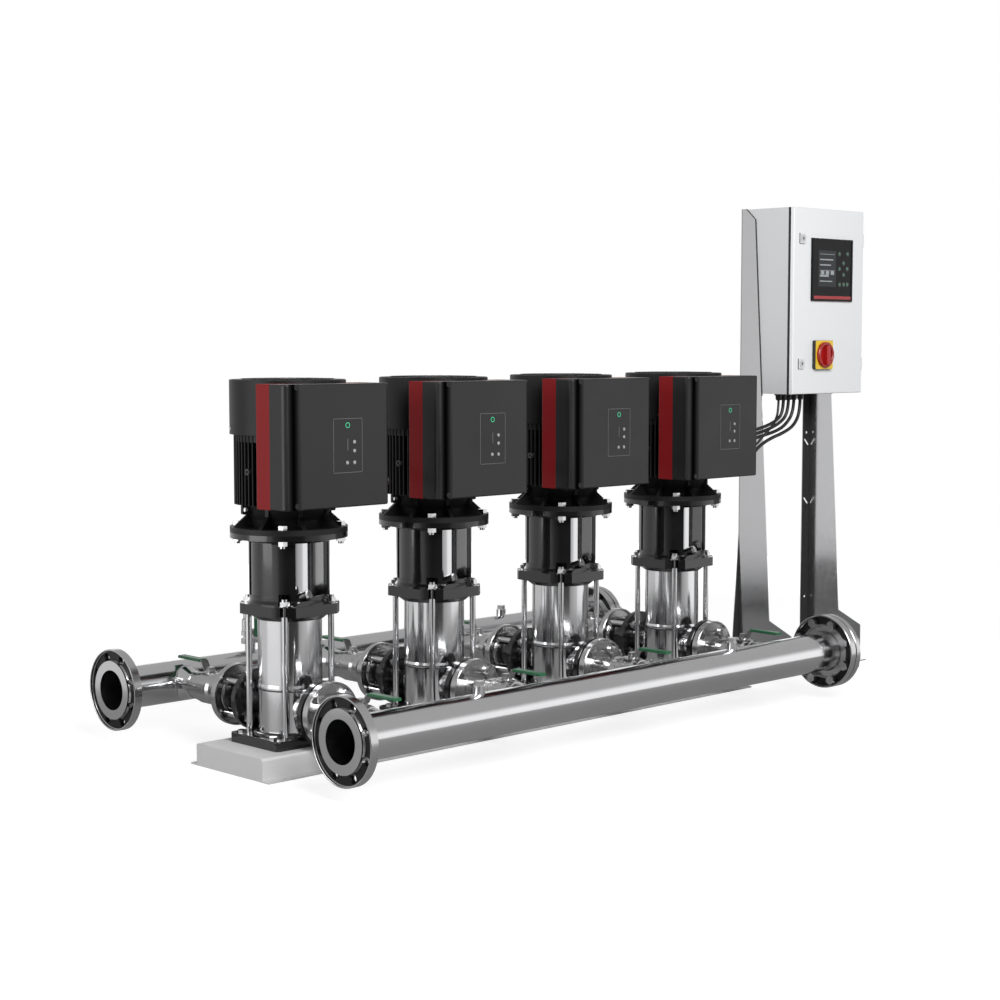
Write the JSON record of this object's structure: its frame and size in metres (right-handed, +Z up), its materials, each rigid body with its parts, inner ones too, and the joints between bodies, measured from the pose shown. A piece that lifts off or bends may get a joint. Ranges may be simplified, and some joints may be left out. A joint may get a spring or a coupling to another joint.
{
  "type": "booster pump set",
  "caption": "Water booster set: a row of vertical multistage pumps with drives between two manifolds on a folded base, and a control cabinet on a stand.",
  "frame": {"origin": "On the floor, below the middle of the outline of the whole set.", "axes": "+X runs along the row of pumps towards the control cabinet, +Y from the suction manifold towards the discharge manifold, +Z up."},
  "size_m": [2.601, 1.1658, 1.514],
  "materials": {
    "grey_paint": "light grey powder coat, satin",
    "black_cast": "black gloss paint on cast iron",
    "stainless": "polished stainless steel",
    "bolt_steel": "zinc plated steel",
    "black_sheet": "black paint on sheet steel",
    "valve_metal": "stainless steel, satin",
    "cabinet_paint": "light grey powder coat",
    "gear_plastic": "grey moulded plastic",
    "panel_black": "black glossy panel",
    "switch_red": "red moulded plastic",
    "lock_metal": "nickel plated",
    "gland_plastic": "black moulded plastic",
    "cable_rubber": "black rubber sheath",
    "lever_green": "dark green sleeve on steel",
    "check_steel": "stainless steel",
    "motor_paint": "black paint on cast aluminium",
    "drive_red": "dark red paint on cast aluminium",
    "drive_dark": "charcoal moulded plastic",
    "rotor_steel": "machined steel"
  },
  "bodies": {
    "set": {"base_frame": "grey_paint", "bolts_and_nuts": "bolt_steel", "cabinet_body": "cabinet_paint", "cabinet_gear": "gear_plastic", "cabinet_stand": "grey_paint", "cable_1": "cable_rubber", "cable_2": "cable_rubber", "cable_3": "cable_rubber", "cable_4": "cable_rubber", "cable_5": "cable_rubber", "cable_glands": "gland_plastic", "check_valve_bodies": "black_cast", "counter_flanges": "stainless", "coupling_guards": "stainless", "discharge_manifold": "stainless", "fan_covers": "black_sheet", "foot_plates": "black_cast", "manifold_fittings": "valve_metal", "manifold_flanges": "stainless", "motor_stools": "black_cast", "port_flanges": "black_cast", "pump_1_drive_case": "drive_red", "pump_1_drive_cover": "drive_dark", "pump_1_motor": "motor_paint", "pump_2_drive_case": "drive_red", "pump_2_drive_cover": "drive_dark", "pump_2_motor": "motor_paint", "pump_3_drive_case": "drive_red", "pump_3_drive_cover": "drive_dark", "pump_3_motor": "motor_paint", "pump_4_drive_case": "drive_red", "pump_4_drive_cover": "drive_dark", "pump_4_motor": "motor_paint", "pump_housings": "stainless", "pump_sleeves": "stainless", "staybolts": "bolt_steel", "suction_manifold": "stainless", "valve_bodies": "valve_metal"},
    "door": {"cabinet_door": "cabinet_paint", "operator_panels": "panel_black"},
    "check_flap_1": {"check_disc_1": "check_steel"},
    "check_flap_2": {"check_disc_2": "check_steel"},
    "check_flap_3": {"check_disc_3": "check_steel"},
    "check_flap_4": {"check_disc_4": "check_steel"},
    "cock_handle": {"cock_lever": "lever_green"},
    "discharge_handle_1": {"discharge_lever_1": "lever_green"},
    "discharge_handle_2": {"discharge_lever_2": "lever_green"},
    "discharge_handle_3": {"discharge_lever_3": "lever_green"},
    "discharge_handle_4": {"discharge_lever_4": "lever_green"},
    "lower_lock": {"door_lock_lower": "lock_metal"},
    "upper_lock": {"door_lock_upper": "lock_metal"},
    "switch_handle": {"main_switch": "switch_red"},
    "pump_1_rotating": {"pump_1_rotor": "rotor_steel"},
    "pump_2_rotating": {"pump_2_rotor": "rotor_steel"},
    "pump_3_rotating": {"pump_3_rotor": "rotor_steel"},
    "pump_4_rotating": {"pump_4_rotor": "rotor_steel"},
    "suction_handle_1": {"suction_lever_1": "lever_green"},
    "suction_handle_2": {"suction_lever_2": "lever_green"},
    "suction_handle_3": {"suction_lever_3": "lever_green"},
    "suction_handle_4": {"suction_lever_4": "lever_green"}
  },
  "joints": [
    {"name": "pump_1_spin", "type": "hinge", "parent": "set", "child": "pump_1_rotating", "pos_m": [-1.0875, -0.032, 0.5], "axis": [0, 0, 1], "continuous": true},
    {"name": "pump_2_spin", "type": "hinge", "parent": "set", "child": "pump_2_rotating", "pos_m": [-0.5875, -0.032, 0.5], "axis": [0, 0, 1], "continuous": true},
    {"name": "pump_3_spin", "type": "hinge", "parent": "set", "child": "pump_3_rotating", "pos_m": [-0.0875, -0.032, 0.5], "axis": [0, 0, 1], "continuous": true},
    {"name": "pump_4_spin", "type": "hinge", "parent": "set", "child": "pump_4_rotating", "pos_m": [0.4125, -0.032, 0.5], "axis": [0, 0, 1], "continuous": true},
    {"name": "suction_handle_1_turn", "type": "hinge", "parent": "set", "child": "suction_handle_1", "pos_m": [-1.0875, -0.316, 0.2], "axis": [0, 0, 1], "range_deg": [0, 90]},
    {"name": "suction_handle_2_turn", "type": "hinge", "parent": "set", "child": "suction_handle_2", "pos_m": [-0.5875, -0.316, 0.2], "axis": [0, 0, 1], "range_deg": [0, 90]},
    {"name": "suction_handle_3_turn", "type": "hinge", "parent": "set", "child": "suction_handle_3", "pos_m": [-0.0875, -0.316, 0.2], "axis": [0, 0, 1], "range_deg": [0, 90]},
    {"name": "suction_handle_4_turn", "type": "hinge", "parent": "set", "child": "suction_handle_4", "pos_m": [0.4125, -0.316, 0.2], "axis": [0, 0, 1], "range_deg": [0, 90]},
    {"name": "discharge_handle_1_turn", "type": "hinge", "parent": "set", "child": "discharge_handle_1", "pos_m": [-1.0875, 0.316, 0.2], "axis": [0, 0, 1], "range_deg": [0, 90]},
    {"name": "discharge_handle_2_turn", "type": "hinge", "parent": "set", "child": "discharge_handle_2", "pos_m": [-0.5875, 0.316, 0.2], "axis": [0, 0, 1], "range_deg": [0, 90]},
    {"name": "discharge_handle_3_turn", "type": "hinge", "parent": "set", "child": "discharge_handle_3", "pos_m": [-0.0875, 0.316, 0.2], "axis": [0, 0, 1], "range_deg": [0, 90]},
    {"name": "discharge_handle_4_turn", "type": "hinge", "parent": "set", "child": "discharge_handle_4", "pos_m": [0.4125, 0.316, 0.2], "axis": [0, 0, 1], "range_deg": [0, 90]},
    {"name": "check_flap_1_lift", "type": "slide", "parent": "set", "child": "check_flap_1", "axis": [0, 1, 0], "range_m": [0, 0.01], "stiffness_N_per_m": 150, "springref_m": -0.002},
    {"name": "check_flap_2_lift", "type": "slide", "parent": "set", "child": "check_flap_2", "axis": [0, 1, 0], "range_m": [0, 0.01], "stiffness_N_per_m": 150, "springref_m": -0.002},
    {"name": "check_flap_3_lift", "type": "slide", "parent": "set", "child": "check_flap_3", "axis": [0, 1, 0], "range_m": [0, 0.01], "stiffness_N_per_m": 150, "springref_m": -0.002},
    {"name": "check_flap_4_lift", "type": "slide", "parent": "set", "child": "check_flap_4", "axis": [0, 1, 0], "range_m": [0, 0.01], "stiffness_N_per_m": 150, "springref_m": -0.002},
    {"name": "cock_handle_turn", "type": "hinge", "parent": "set", "child": "cock_handle", "pos_m": [-0.8225, 0.4617, 0.25315], "axis": [0, 1, 0], "range_deg": [0, 90]},
    {"name": "door_swing", "type": "hinge", "parent": "set", "child": "door", "pos_m": [1.269, -0.1215, 1.212], "axis": [0, 0, 1], "range_deg": [0, 120]},
    {"name": "switch_turn", "type": "hinge", "parent": "door", "child": "switch_handle", "pos_m": [1.0355, -0.132, 1.039], "axis": [0, -1, 0], "range_deg": [0, 90]},
    {"name": "upper_lock_turn", "type": "hinge", "parent": "door", "child": "upper_lock", "pos_m": [0.9305, -0.132, 1.4135], "axis": [0, 1, 0], "range_deg": [0, 90]},
    {"name": "lower_lock_turn", "type": "hinge", "parent": "door", "child": "lower_lock", "pos_m": [0.9305, -0.132, 1.0105], "axis": [0, 1, 0], "range_deg": [0, 90]}
  ]
}
